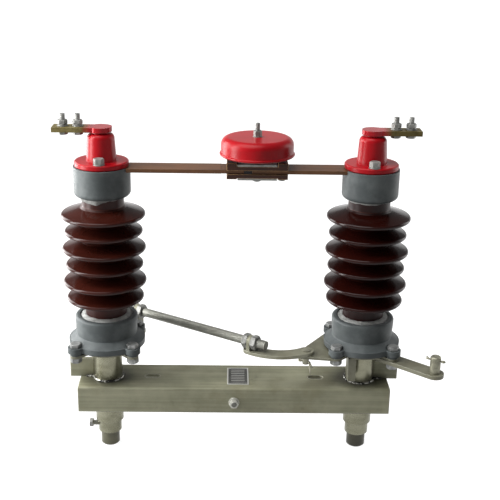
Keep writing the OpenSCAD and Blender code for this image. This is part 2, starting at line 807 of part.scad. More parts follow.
// Places children on the rod's axis, a distance from the middle of the linkage towards the right end
module along_rod(d) {
    translate([link_mid[0], link_mid[1], rod_z]) rotate(rod_angle) translate([d, 0, 0]) rotate([0, 90, 0])
        children();
}

module right_link() {
    color(galvanised) difference() {
        curved_link(right_pivot, right_lug, right_link_z);
        translate([right_pivot[0], right_pivot[1], right_link_z - thin])
            cylinder(r = crank_pin_r + run_clear, h = link_t + 2 * thin);
    }
}

// Left link, with the lower end of its pin riveted in
module left_link() {
    color(galvanised) {
        curved_link(left_pivot, left_lug, left_link_z);
        translate([left_pivot[0], left_pivot[1], left_link_z - crank_head_h])
            cylinder(r = crank_head_r, h = crank_head_h + thin);
    }
}

module connecting_rod() {
    color(galvanised) along_rod(-rod_left - rod_stub)
        cylinder(d = rod_d, h = rod_left + rod_right + 2 * rod_stub);
}

// Nuts on both sides of both lugs
module rod_nuts() {
    color(zinc) for (lug = [-rod_left, rod_right], d = [-lug_t / 2 - rod_nut_h, lug_t / 2])
        along_rod(lug + d) difference() {
            rotate(30) hex(rod_nut_af, rod_nut_h);
            translate([0, 0, -thin]) cylinder(r = rod_d / 2 + weld_clear, h = rod_nut_h + 2 * thin);
        }
}

// Flat terminal bar with a round end that turns on the cap's spigot
module terminal(x, turn) {
    color(brass_plate) translate([x, 0, terminal_z]) rotate(turn) difference() {
        union() {
            cylinder(r = terminal_r, h = terminal_t);
            translate([0, -terminal_w / 2, 0]) cube([terminal_reach, terminal_w, terminal_t]);
        }
        translate([0, 0, -thin]) cylinder(r = spigot_r + run_clear, h = spigot_h + thin);
        for (d = [0, terminal_bolt_gap]) translate([terminal_bolt_in + d, 0, -thin])
            cylinder(r = terminal_bolt_d / 2 + weld_clear, h = terminal_t + 2 * thin);
    }
}

// Bolts in the terminal bar, heads below and nuts above
module terminal_bolts(x, turn) {
    head_h = 0.65 * terminal_bolt_d;
    nut_h = 1.2 * terminal_bolt_d;
    neck_l = 2;
    r = terminal_bolt_d / 2;
    nut_top = terminal_t + nut_h;
    color(zinc) translate([x, 0, terminal_z]) rotate(turn)
        for (d = [0, terminal_bolt_gap]) translate([terminal_bolt_in + d, 0, 0]) {
            translate([0, 0, -head_h]) hex(terminal_bolt_af, head_h);
            translate([0, 0, -thin]) cylinder(r = r - stud_neck, h = nut_top + neck_l + 2 * thin);
            translate([0, 0, terminal_t]) hex(terminal_bolt_af, nut_h);
            translate([0, 0, nut_top + neck_l]) cylinder(r = r, h = terminal_stud_l - neck_l);
        }
}

base_beam();
bearing_tube(-half);  // left_bearing_tube
bearing_tube(half);  // right_bearing_tube
stop_fins();
rating_plate();
earth_bolt();
shaft(-half);  // left_shaft
left_collar();
seat_plate(-half, left_angle);  // left_seat_plate
left_crank_pin();
base_fitting(-half);  // left_base_fitting
cement(-half);  // left_cement
insulator(-half);  // left_insulator
top_fitting(-half, 0);  // left_top_fitting
left_blade();
cap(-half);  // left_cap
cap_bolts(-half);  // left_cap_bolts
flange_bolts(-half, false);  // left_flange_bolts
shaft(half);  // right_shaft
collar(half);  // right_collar
seat_plate(half, crank_angle);  // right_seat_plate
stop_bar();
drive_arm();
drive_pin();
right_crank_pin();
base_fitting(half);  // right_base_fitting
cement(half);  // right_cement
insulator(half);  // right_insulator
top_fitting(half, 180);  // right_top_fitting
right_blade();
cap(half);  // right_cap
cap_bolts(half);  // right_cap_bolts
flange_bolts(half, true);  // right_flange_bolts
upper_fingers();
lower_fingers();
pressure_springs();
rain_hood();
contact_bolts();
right_link();
left_link();
connecting_rod();
rod_nuts();
terminal(-half, 180);  // left_terminal
terminal_bolts(-half, 180);  // left_terminal_bolts
terminal(half, 0);  // right_terminal
terminal_bolts(half, 0);  // right_terminal_bolts
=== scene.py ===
import math

import bmesh
import bpy
from mathutils import Matrix, Quaternion, Vector, noise


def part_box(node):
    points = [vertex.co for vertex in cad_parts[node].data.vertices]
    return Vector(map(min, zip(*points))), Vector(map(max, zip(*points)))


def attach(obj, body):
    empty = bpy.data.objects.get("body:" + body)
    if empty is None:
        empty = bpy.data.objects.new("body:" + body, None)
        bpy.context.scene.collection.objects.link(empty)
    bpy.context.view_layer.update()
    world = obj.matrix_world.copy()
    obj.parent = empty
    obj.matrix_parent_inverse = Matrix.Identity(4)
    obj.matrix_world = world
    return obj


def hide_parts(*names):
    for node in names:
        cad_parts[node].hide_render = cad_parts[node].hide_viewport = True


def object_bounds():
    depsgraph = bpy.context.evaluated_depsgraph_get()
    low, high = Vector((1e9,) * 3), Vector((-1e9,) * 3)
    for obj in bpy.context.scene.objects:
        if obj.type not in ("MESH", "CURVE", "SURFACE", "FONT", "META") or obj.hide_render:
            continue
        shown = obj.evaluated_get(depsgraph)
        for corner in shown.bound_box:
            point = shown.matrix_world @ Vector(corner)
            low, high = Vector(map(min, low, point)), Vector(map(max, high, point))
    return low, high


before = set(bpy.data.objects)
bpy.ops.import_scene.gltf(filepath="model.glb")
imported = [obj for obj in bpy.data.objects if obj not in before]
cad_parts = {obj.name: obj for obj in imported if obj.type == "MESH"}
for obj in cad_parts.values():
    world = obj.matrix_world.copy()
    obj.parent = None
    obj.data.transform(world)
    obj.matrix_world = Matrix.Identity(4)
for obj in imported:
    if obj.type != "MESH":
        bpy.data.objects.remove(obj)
cad_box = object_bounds()


# Channel beam: pressed steel channel with its web up, dipped in zinc that has gone dull and olive.
# Two slots in the web take the bolts that hold the pole to its cross arm.
# The zinc shows soft blotches, rolling streaks, paler edges that are wear and, on the beam, a painted
# highlight line, and grime with painted shade round the tubes' feet.
class Wire:
    """One output among a finish's nodes; sums and products on it add Math nodes."""

    def __init__(self, tree, socket=None):
        self.tree = tree
        self.socket = socket

    def feed(self, socket, value):
        if isinstance(value, Wire):
            self.tree.links.new(value.socket, socket)
        elif socket.type == "RGBA":
            socket.default_value = (*value, 1)
        else:
            socket.default_value = value

    def node(self, kind, settings=None, values=None, out=0):
        made = self.tree.nodes.new("ShaderNode" + kind)
        for name, setting in (settings or {}).items():
            setattr(made, name, setting)
        for name, value in (values or {}).items():
            self.feed(made.inputs[name], value)
        return Wire(self.tree, made.outputs[out])

    def sums(self, operation, first, second):
        return self.node("Math", {"operation": operation}, {0: first, 1: second})

    def __add__(self, other):
        return self.sums("ADD", self, other)

    __radd__ = __add__

    def __mul__(self, other):
        return self.sums("MULTIPLY", self, other)

    __rmul__ = __mul__

    def __sub__(self, other):
        return self.sums("SUBTRACT", self, other)

    def __rsub__(self, other):
        return self.sums("SUBTRACT", other, self)

    def step(self, low, high):
        """0 below low, 1 above high, smooth between."""
        return self.node("MapRange", {"interpolation_type": "SMOOTHSTEP"},
                         {"Value": self, "From Min": low, "From Max": high})

    def between(self, first, second):
        """The first colour at 0, the second at 1."""
        return self.node("Mix", {"data_type": "RGBA"}, {0: self, 6: first, 7: second}, out=2)

    def noise(self, scale, detail=4.0, roughness=0.5):
        return self.node("TexNoise", None,
                         {"Vector": self, "Scale": scale, "Detail": detail, "Roughness": roughness})

    def stretched(self, x, y, z):
        return self.node("Mapping", None, {"Vector": self, "Scale": (x, y, z)})

    def part(self, axis):
        return self.node("SeparateXYZ", None, {0: self}, out=axis)

    def size(self):
        """How far from 0, on either side."""
        return self.sums("ABSOLUTE", self, 0)

    def reach(self, other):
        """How far from a centre, where these two are the distances along two axes."""
        return self.sums("SQRT", self * self + other * other, 0)

    def soft_edges(self, radius):
        """A normal that rounds the edges, and a mask that is 1 on them."""
        rounded = self.node("Bevel", {"samples": 6}, {"Radius": radius})
        flat = self.node("NewGeometry", out="Normal")
        along = self.node("VectorMath", {"operation": "DOT_PRODUCT"}, {0: rounded, 1: flat}, out="Value")
        return rounded, (1 - along).step(0.01, 0.14)

    def bumped(self, strength, depth, normal=None):
        """The normal of a surface with this height on it."""
        values = {"Strength": strength, "Distance": depth, "Height": self}
        if normal is not None:
            values["Normal"] = normal
        return self.node("Bump", None, values)


def new_finish(name, **constants):
    """A material, its shader and a wire that carries Object coordinates."""
    material = bpy.data.materials.new(name)
    material.use_nodes = True
    tree = material.node_tree
    shader = tree.nodes["Principled BSDF"]
    for socket, value in constants.items():
        shader.inputs[socket.replace("_", " ")].default_value = value
    return material, shader, Wire(tree).node("TexCoord", out="Object")


def lay_on(material, *nodes):
    for node in nodes:
        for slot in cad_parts[node].material_slots:
            slot.material = material


def dull_zinc(name, pale, deep, wear_and_edge_highlight, gloss, streaks, metal=0.35, edge_r=0.0011, shade_and_grime_x=None):
    """Old zinc on steel; streaks are how fine the noise is along X, Y and Z; edges take the worn colour,
    which is wear and, on the beam, a painted highlight.

    Where a distance out to both sides is given, the web is darkened round those points: grime, and painted
    shade round the tubes' feet.
    """
    material, shader, spot = new_finish(name, Metallic=metal)
    blotch = spot.noise(16, 5, 0.62)
    drawn = spot.stretched(*streaks).noise(1, 4, 0.6)
    grain = spot.noise(520, 3, 0.6)
    stains = spot.noise(45, 6, 0.7).step(0.58, 0.74)
    warm = spot.noise(11, 5, 0.7).step(0.5, 0.66)
    rounded, edge = spot.soft_edges(edge_r)
    colour = (blotch * 0.55 + drawn * 0.45).step(0.34, 0.66).between(deep, pale)
    colour = (warm * 0.4).between(colour, (0.95 * deep[0], 0.85 * deep[1], 0.7 * deep[2]))
    colour = (stains * 0.4).between(colour, [0.6 * c for c in deep])
    # Painted shade with grime: the web darkens round the tubes' feet.
    if shade_and_grime_x:
        full_r = 0.034
        clean_r = 0.064
        off_axis = (spot.part("X").size() - shade_and_grime_x).reach(spot.part("Y"))
        near = 1 - (off_axis + stains * 0.004 + blotch * 0.02).step(full_r, clean_r)
        rise = spot.part("Z") - web_top
        on_web = rise.step(-0.004, -0.001) * (1 - rise.step(0.002, 0.012))
        colour = (near * on_web * 0.85).between(colour, [0.2 * c for c in deep])
    # Paler edges: wear, and where the edge colour is bright and the radius wide, as on the beam, a painted
    # highlight line.
    colour = (edge * 0.6).between(colour, wear_and_edge_highlight)
    spot.feed(shader.inputs["Base Color"], colour)
    spot.feed(shader.inputs["Roughness"], gloss + blotch * 0.14 + grain * 0.1 - edge * 0.1)
    spot.feed(shader.inputs["Normal"], (grain * 0.5 + drawn).bumped(0.3, 0.0003, rounded))
    return material


web_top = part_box("rating_plate")[0].z
post_x = (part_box("right_shaft")[0].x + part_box("right_shaft")[1].x) / 2
olive_pale = (0.242, 0.24, 0.162)
olive_deep = (0.147, 0.146, 0.091)
# The beam's bright edge colour and wide edge radius paint a highlight line along its edges, on top of wear.
beam_wear_and_highlight = (0.52, 0.51, 0.43)
lay_on(dull_zinc("olive_zinc_beam", olive_pale, olive_deep, beam_wear_and_highlight, 0.4, (4, 150, 150), metal=0.15,
                 edge_r=0.003, shade_and_grime_x=post_x), "base_beam", "stop_fins")


# Bearing tubes: drawn steel tubes through the beam's web, which carry the turning shafts.
# The turned shafts hang out below with a locked collar on each; they take a darker copy of the zinc as
# painted shade under the beam, and the driven one, on the right, a darker one still as painted shade on the
# right side.
olive_worn = (0.4, 0.395, 0.33)
turned_marks = (40, 40, 90)
lay_on(dull_zinc("olive_zinc_turned", (0.23, 0.226, 0.165), (0.14, 0.137, 0.092), olive_worn, 0.16,
                 turned_marks, metal=0.8),
       "left_bearing_tube", "right_bearing_tube", "left_collar", "right_collar")
# Painted shade: a darker copy of the turned zinc for the shaft under the beam.
lay_on(dull_zinc("shaded_olive_zinc_shaft", (0.12, 0.117, 0.075), (0.065, 0.063, 0.038), (0.3, 0.295, 0.22), 0.24,
                 turned_marks), "left_shaft")
# Painted shade: the right shaft's zinc is a much darker copy, for the darker right side.
lay_on(dull_zinc("shaded_right_shaft", (0.045, 0.042, 0.022), (0.02, 0.019, 0.01), (0.12, 0.117, 0.08), 0.24,
                 turned_marks, metal=0.2), "right_shaft")


# Weld beads: run by hand round the feet of the tubes and along the stop fins, then zinc dipped.
# They stay bright and rippled, with black slag between the ripples.
def middle_of(node):
    low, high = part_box(node)
    return (low + high) / 2


def at(x, y, z):
    return Matrix.Translation((x, y, z))


def turned(degrees, axis):
    return Matrix.Rotation(math.radians(degrees), 4, axis)


def new_piece(name, shape, material, body, slot, *replaced):
    """Turns a finished bmesh into a piece that rides on a body."""
    mesh = bpy.data.meshes.new(name)
    shape.to_mesh(mesh)
    shape.free()
    mesh.materials.append(material)
    piece = bpy.data.objects.new(name, mesh)
    bpy.context.collection.objects.link(piece)
    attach(piece, body)
    if replaced:
        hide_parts(*replaced)


def add_part(shape, part, place, smooth=False):
    """Puts a small bmesh into a piece's shape, moved to its place."""
    bmesh.ops.transform(part, matrix=place, verts=part.verts)
    bmesh.ops.recalc_face_normals(part, faces=part.faces)
    for face in part.faces:
        face.smooth = smooth
    carrier = bpy.data.meshes.new("carrier")
    part.to_mesh(carrier)
    part.free()
    shape.from_mesh(carrier)
    bpy.data.meshes.remove(carrier)


def edges_at(corners):
    return list({edge for corner in corners for edge in corner.link_edges})


def rim_of(made):
    """The new corners and the new edges between them, after an extrusion."""
    corners = [part for part in made if isinstance(part, bmesh.types.BMVert)]
    edges = [part for part in made if isinstance(part, bmesh.types.BMEdge)]
    return corners, [edge for edge in edges if edge.verts[0] in corners and edge.verts[1] in corners]


def bead(radius, step, steps, closed):
    """A rippled bead: a ring of that radius in the XY plane, moved on by step over and over."""
    swell = 0.18
    ripple = 3
    part = bmesh.new()
    ring = bmesh.ops.create_circle(part, cap_ends=not closed, segments=10, radius=radius)["verts"]
    first = edges = edges_at(ring)
    place = Matrix.Identity(4)
    for count in range(1, steps):
        ring, edges = rim_of(bmesh.ops.extrude_edge_only(part, edges=edges)["geom"])
        bmesh.ops.transform(part, matrix=step, verts=ring)
        place = step @ place
        grown = 1 + swell * math.sin(math.tau * count / ripple)
        before = 1 + swell * math.sin(math.tau * (count - 1) / ripple)
        bmesh.ops.scale(part, vec=Vector((1, 1, 1)) * (grown / before), space=place.inverted(), verts=ring)
    if closed:
        bmesh.ops.bridge_loops(part, edges=edges + first)
    else:
        bmesh.ops.contextual_create(part, geom=edges)
    return part


def weld_metal(name):
    material, shader, spot = new_finish(name, Metallic=0.6)
    slag = spot.noise(190, 3, 0.6).step(0.44, 0.52)
    spot.feed(shader.inputs["Base Color"], slag.between((0.4, 0.395, 0.36), (0.02, 0.02, 0.018)))
    spot.feed(shader.inputs["Roughness"], 0.16 + slag * 0.3)
    spot.feed(shader.inputs["Normal"], spot.noise(420, 3).bumped(0.4, 0.0006))
    return material


bead_r = 0.0022
bead_sunk = 0.3 * bead_r
ripple_gap = 0.0014
tube_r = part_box("left_bearing_tube")[1].y
tube_ripples = 99
beam_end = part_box("base_beam")[1].x
fin_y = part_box("stop_fins")[1].y
weld_shape = bmesh.new()
for tube in ("left_bearing_tube", "right_bearing_tube"):
    tube_x = middle_of(tube).x
    out = at(tube_r + bead_sunk, 0, 0) @ turned(90, "X")
    turn = out.inverted() @ turned(360 / tube_ripples, "Z") @ out
    add_part(weld_shape, bead(bead_r, turn, tube_ripples, True),
             at(tube_x, 0, web_top + bead_sunk) @ out, True)
    way = math.copysign(1, tube_x)
    fin_ripples = int((beam_end - abs(tube_x) - tube_r - 3 * bead_r) / ripple_gap)
    for side in (-1, 1):
        foot = at(tube_x + way * tube_r, side * (fin_y + bead_sunk), web_top + bead_sunk)
        add_part(weld_shape, bead(bead_r, at(0, 0, ripple_gap), fin_ripples, False),
                 foot @ turned(way * 90, "Y"), True)
new_piece("weld_beads", weld_shape, weld_metal("bright_weld"), "base", "galvanised")


# Fasteners: zinc plated steel bolts and nuts with chamfered corners, on thin washers.
# The flats are bright, with dull handling marks, and the studs show their threads.
def plated(name, pale, deep, gloss, dish=None):
    """Plated steel; dish is the X, Z and radius of a round patch darkened as painted shade in the recess of a
    bolt head.
    """
    material, shader, spot = new_finish(name, Metallic=0.5)
    smear = spot.noise(90, 4, 0.6)
    grain = spot.noise(900, 2)
    rounded, edge = spot.soft_edges(0.0005)
    colour = (edge * 0.5).between(smear.step(0.35, 0.65).between(deep, pale), pale)
    # Painted shade: a round patch darkened inside a recess.
    if dish:
        dish_x, dish_z, dish_r = dish
        off_axis = (spot.part("X") - dish_x).reach(spot.part("Z") - dish_z)
        unshaded = off_axis.step(0.9 * dish_r, dish_r)
        colour = unshaded.between([0.3 * c for c in deep], colour)
    spot.feed(shader.inputs["Base Color"], colour)
    spot.feed(shader.inputs["Roughness"], gloss + smear * 0.2)
    spot.feed(shader.inputs["Normal"], grain.bumped(0.2, 0.0002, rounded))
    return material


def corner_r(across):
    """A hexagon's radius to its corners, from its width across flats."""
    return across / 2 / math.cos(math.pi / 6)


def chamfer_r(across):
    """The radius of the flat on a hexagon's end, inside the chamfer."""
    return 0.475 * across


def hexagon(across, height):
    """A nut or bolt head on the XY plane, a corner along X, both ends chamfered."""
    end_r = chamfer_r(across)
    slope = math.tan(math.radians(30))
    sixth = math.pi / 3
    part = bmesh.new()
    ring = bmesh.ops.create_circle(part, cap_ends=True, segments=48, radius=end_r)["verts"]
    edges = edges_at(ring)
    for wide, level in ((True, 0), (True, height), (False, height)):
        ring, edges = rim_of(bmesh.ops.extrude_edge_only(part, edges=edges)["geom"])
        for vert in ring:
            angle = math.atan2(vert.co.y, vert.co.x)
            radius = across / 2 / math.cos(angle % sixth - sixth / 2) if wide else end_r
            drop = slope * (radius - end_r)
            vert.co = (radius * math.cos(angle), radius * math.sin(angle), level - drop if level else drop)
    bmesh.ops.contextual_create(part, geom=edges)
    return part


def round_bar(radius, height):
    """A washer, shank or pin on the XY plane with eased rims."""
    ease = min(0.0005, 0.25 * height)
    part = bmesh.new()
    bmesh.ops.create_cone(part, cap_ends=True, segments=48, radius1=radius, radius2=radius, depth=height,
                          matrix=at(0, 0, height / 2))
    rims = [edge for edge in part.edges if edge.verts[0].co.z == edge.verts[1].co.z]
    bmesh.ops.bevel(part, geom=rims, offset=ease, segments=2, profile=0.5, affect="EDGES", material=-1)
    return part


def thread(radius, pitch, length):
    """A ridge wound up the Z axis; its crest has that radius."""
    steps_a_turn = 18
    root = radius - 0.5 * pitch
    turns = length / pitch - 1
    steps = int(steps_a_turn * turns)
    part = bmesh.new()
    corners = [part.verts.new(place) for place in ((root, 0, 0), (radius, 0, pitch / 2), (root, 0, pitch))]
    face = part.faces.new(corners)
    bmesh.ops.spin(part, geom=[*corners, *face.edges, face], axis=(0, 0, 1), cent=(0, 0, 0),
                   angle=math.tau * turns, steps=steps, dvec=(0, 0, pitch * turns / steps))
    return part


bright_zinc = plated("bright_zinc", (0.25, 0.25, 0.235), (0.14, 0.14, 0.131), 0.42)


# Earth bolt: a hexagon bolt and washer in the middle of the beam's front flange.
# The earthing strap of the pole is clamped under it, so it is kept bright.
# Its head is forged with a dish in the middle.
earth_across = 0.013
earth_washer_t = 0.002
earth_low, earth_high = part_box("earth_bolt")
earth_axis = middle_of("earth_bolt")
earth_face = at(earth_axis.x, earth_high.y, earth_axis.z) @ turned(90, "X")
earth_head_h = earth_high.y - earth_low.y - earth_washer_t
dish_rim = 0.0016
dish_depth = 0.0014
earth_head = hexagon(earth_across, earth_head_h)
dish = [face for face in earth_head.faces if face.calc_center_median().z > 0.999 * earth_head_h]
bmesh.ops.inset_region(earth_head, faces=dish, thickness=dish_rim, depth=0)
bmesh.ops.inset_region(earth_head, faces=dish, thickness=0.5 * dish_rim, depth=-dish_depth)
earth_shape = bmesh.new()
add_part(earth_shape, round_bar((earth_high.x - earth_low.x) / 2, earth_washer_t), earth_face)
add_part(earth_shape, earth_head, earth_face @ at(0, 0, earth_washer_t))
# The dish in the earth bolt's head is darkened: painted shade.
earth_zinc = plated("kept_bright_zinc", (0.5, 0.5, 0.45), (0.34, 0.34, 0.3), 0.4,
                    (earth_axis.x, earth_axis.z, chamfer_r(earth_across) - dish_rim))
new_piece("earth_bolt_and_washer", earth_shape, earth_zinc, "base", "zinc_bolts", "earth_bolt")


# Rating plate: a thin plate on the web, dark with a pale rim, held by four small round rivets.
# It carries only ruled lines, as a blank plate does before it is stamped.
plate_low, plate_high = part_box("rating_plate")
plate_middle = middle_of("rating_plate")
plate_half = (plate_high - plate_low) / 2


def ruled_plate(name):
    rim_w = 0.002
    margin = 0.0065
    line_gap = 0.0062
    line_w = 0.0013
    sharp = 0.0002
    material, shader, spot = new_finish(name, Metallic=0.5)
    across = spot.part("X") - plate_middle.x
    along = spot.part("Y") - plate_middle.y
    off_x = across.size()
    off_y = along.size()
    rim_x = off_x.step(plate_half.x - rim_w, plate_half.x - rim_w + sharp)
    rim_y = off_y.step(plate_half.y - rim_w, plate_half.y - rim_w + sharp)
    field = (1 - off_x.step(plate_half.x - margin, plate_half.x - margin + sharp)) * (
        1 - off_y.step(plate_half.y - margin, plate_half.y - margin + sharp))
    wave = along.sums("PINGPONG", along + plate_half.y, line_gap / 2)
    lines = (1 - wave.step(line_w / 2, line_w / 2 + sharp)) * field
    wear = spot.noise(140, 5, 0.65)
    dark = wear.step(0.3, 0.7).between((0.05, 0.05, 0.046), (0.1, 0.1, 0.09))
    pale = rim_x.sums("MAXIMUM", rim_x, rim_y)
    spot.feed(shader.inputs["Base Color"],
              pale.sums("MAXIMUM", pale, lines * 0.9).between(dark, (0.6, 0.6, 0.56)))
    spot.feed(shader.inputs["Roughness"], 0.3 + wear * 0.2)
    return material


lay_on(ruled_plate("ruled_plate"), "rating_plate")
rivet_r = 0.0016
rivet_in = 0.0042
rivet_flat = 0.5
rivet_shape = bmesh.new()
for x, y in ((-1, -1), (-1, 1), (1, -1), (1, 1)):
    dome = bmesh.new()
    bmesh.ops.create_uvsphere(dome, u_segments=20, v_segments=12, radius=rivet_r)
    corner_x = plate_middle.x + x * (plate_half.x - rivet_in)
    corner_y = plate_middle.y + y * (plate_half.y - rivet_in)
    flat = Matrix.Diagonal((1, 1, rivet_flat, 1))
    add_part(rivet_shape, dome, at(corner_x, corner_y, plate_high.z) @ flat, True)
new_piece("plate_rivets", rivet_shape, bright_zinc, "base", "plate_metal")


# Collar screw: a long hexagon screw, threaded to the head, locks the left collar to its shaft.
# It is bright zinc and sticks out to the left, for a spanner.
screw_across = 0.0134
screw_r = 0.0039
screw_pitch = 0.0012
screw_head_h = 0.0054
screw_shank = 0.0088
screw_proud = 0.0002
thread_proud = 0.0004
screw_tip = at(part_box("left_collar")[0].x, 0, middle_of("left_collar").z) @ turned(90, "Y")
screw_shape = bmesh.new()
add_part(screw_shape, hexagon(screw_across, screw_head_h), screw_tip @ at(0, 0, -screw_proud))
add_part(screw_shape, thread(screw_r + thread_proud, screw_pitch, screw_shank),
         screw_tip @ at(0, 0, screw_head_h))
new_piece("collar_screw", screw_shape, bright_zinc, "left_post", "zinc_bolts")


# Cranks, links and drive arm: flat bars and plates cut from sheet and zinc dipped, the plates in a darker
# copy of the zinc as painted shade under the fittings.
# The seat plates are bolted under the posts, and the hanging stop bar is welded to the right one.
# The pins are round bar, plated and gone olive.
sheet_marks = (60, 60, 60)
lay_on(dull_zinc("olive_zinc_link", (0.235, 0.23, 0.17), (0.15, 0.147, 0.1), olive_worn, 0.38, sheet_marks),
       "right_link", "left_link")
# Painted shade: a darker copy of the zinc for the plates, stop bar and drive arm under the fittings.
lay_on(dull_zinc("shaded_olive_zinc_plate", (0.165, 0.161, 0.115), (0.1, 0.098, 0.065), olive_worn, 0.4, sheet_marks,
                 metal=0.25), "left_seat_plate", "right_seat_plate", "stop_bar", "drive_arm")
olive_zinc = plated("olive_zinc_pins", (0.26, 0.253, 0.19), (0.15, 0.146, 0.105), 0.34)
lay_on(olive_zinc, "drive_pin", "left_crank_pin", "right_crank_pin")


# Split pins: soft steel wire folded double, through the drive pin and the right crank pin.
# The folded end is an eye, and the two legs are bent apart.
same_place = 1e-6


def split_pin(wire_r, reach, leg, droop):
    """Lies along X through the origin; the eye is at the +X end, the legs bend by droop at the other."""
    eye_r = 1.6 * wire_r
    part = bmesh.new()
    ring = bmesh.ops.create_circle(part, cap_ends=False, segments=12, radius=0.8 * wire_r,
                                   matrix=at(reach + eye_r, eye_r, 0) @ turned(90, "Y"))["verts"]
    bmesh.ops.spin(part, geom=ring + edges_at(ring), axis=(0, 0, 1), cent=(reach + eye_r, 0, 0),
                   angle=math.tau, steps=24, use_merge=True)
    bmesh.ops.remove_doubles(part, verts=part.verts, dist=same_place)
    for side in (-1, 1):
        ring = bmesh.ops.create_circle(part, cap_ends=True, segments=12, radius=0.7 * wire_r,
                                       matrix=at(reach, side * 0.5 * wire_r, 0) @ turned(-90, "Y"))["verts"]
        edges = edges_at(ring)
        ring, edges = rim_of(bmesh.ops.extrude_edge_only(part, edges=edges)["geom"])
        bmesh.ops.translate(part, vec=(-reach - leg, 0, 0), verts=ring)
        bend = Vector((-leg, side * 0.5 * wire_r, 0))
        end = Vector((-leg / 2, side * wire_r, droop * (1 + 0.3 * side)))
        half_turn = Quaternion().slerp(Vector((-1, 0, 0)).rotation_difference(end), 0.5).to_matrix()
        bmesh.ops.rotate(part, cent=bend, matrix=half_turn, verts=ring)
        ring, edges = rim_of(bmesh.ops.extrude_edge_only(part, edges=edges)["geom"])
        bmesh.ops.translate(part, vec=end, verts=ring)
        bmesh.ops.rotate(part, cent=bend + end, matrix=half_turn, verts=ring)
        bmesh.ops.contextual_create(part, geom=edges)
    return part


drive_low, drive_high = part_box("drive_pin")
drive_axis = middle_of("drive_pin")
drive_r = (drive_high.x - drive_low.x) / 2
drive_hole_down = 0.0065
drive_split = bmesh.new()
add_part(drive_split, split_pin(wire_r=0.0015, reach=drive_r + 0.0014, leg=drive_r + 0.002, droop=0.0016),
         at(drive_axis.x, drive_axis.y, drive_high.z - drive_hole_down) @ turned(-30, "Z"), True)
new_piece("drive_split_pin", drive_split, olive_zinc, "right_post", "zinc_bolts")
crank_axis = middle_of("right_crank_pin")
crank_foot_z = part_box("right_crank_pin")[0].z
crank_hole_up = 0.0035
drawn_marks = (90, 90, 90)
pale_wire = dull_zinc("pale_zinc_wire", (0.62, 0.61, 0.5), (0.45, 0.44, 0.36), (0.7, 0.69, 0.6), 0.4,
                      drawn_marks)
crank_split = bmesh.new()
add_part(crank_split, split_pin(wire_r=0.0018, reach=0.0062, leg=0.0065, droop=-0.0135),
         at(crank_axis.x, crank_axis.y, crank_foot_z + crank_hole_up) @ turned(150, "Z"), True)
new_piece("crank_split_pin", crank_split, pale_wire, "right_post", "zinc_bolts")


# Fittings: grey iron castings under a satin grey coat, cupped to hold the porcelain's two ends.
# The base fitting has four lugs, and the top fitting is grooved for the blade.
def cast_paint(name, pale, deep, gloss):
    material, shader, spot = new_finish(name, Specular_IOR_Level=0.14)
    cloud = spot.noise(26, 5, 0.6)
    sand = spot.noise(340, 4, 0.6)
    rounded, edge = spot.soft_edges(0.0018)
    colour = cloud.step(0.35, 0.68).between(deep, pale)
    spot.feed(shader.inputs["Base Color"], (edge * 0.35).between(colour, [1.5 * c for c in pale]))
    spot.feed(shader.inputs["Roughness"], gloss + cloud * 0.12)
    spot.feed(shader.inputs["Normal"], sand.bumped(0.4, 0.0004, rounded))
    return material


lay_on(cast_paint("grey_cast_fittings", (0.098, 0.109, 0.109), (0.06, 0.068, 0.069), 0.36),
       "left_base_fitting", "right_base_fitting", "left_top_fitting", "right_top_fitting")


# Flange bolts: four through each base fitting and its seat plate, the nuts below.
# One nut on the right post also holds the drive arm.
flange_across = 0.016
flange_bolt_r = 0.005
flange_head_h = 0.0065
flange_nut_h = 0.008
shank_in_nut = 0.001
grey_zinc = plated("grey_zinc", (0.26, 0.264, 0.257), (0.13, 0.133, 0.13), 0.34)
for side in ("left", "right"):
    bolts = side + "_flange_bolts"
    low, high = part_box(bolts)
    axis = middle_of(bolts)
    span = (high.x - low.x) / 2 - corner_r(flange_across)
    bolt_shape = bmesh.new()
    for x, y in ((-1, -1), (-1, 1), (1, -1), (1, 1)):
        under_arm = side == "right" and (x, y) == (1, -1)
        grip_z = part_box("drive_arm" if under_arm else side + "_seat_plate")[0].z
        bolt = at(axis.x + x * span, axis.y + y * span, 0)
        add_part(bolt_shape, hexagon(flange_across, flange_head_h), bolt @ at(0, 0, high.z - flange_head_h))
        add_part(bolt_shape, round_bar(flange_bolt_r, high.z - grip_z),
                 bolt @ at(0, 0, grip_z - shank_in_nut))
        add_part(bolt_shape, hexagon(flange_across, flange_nut_h), bolt @ at(0, 0, grip_z - flange_nut_h))
    new_piece(side + "_flange_bolts_and_nuts", bolt_shape, grey_zinc, side + "_post", "zinc_bolts", bolts)


# Cement: pale mortar that sets the porcelain in its fittings, trowelled by hand, rough and pitted.
# A ragged fillet stands round the porcelain's foot, and some is smeared under the top fittings.
def mortar(name, pale, deep):
    material, shader, spot = new_finish(name, Roughness=0.92)
    cloud = spot.noise(60, 6, 0.7)
    pits = spot.noise(300, 5, 0.7)
    spot.feed(shader.inputs["Base Color"], cloud.step(0.3, 0.7).between(deep, pale))
    spot.feed(shader.inputs["Normal"], (cloud + pits * 0.5).bumped(0.9, 0.0012))
    return material


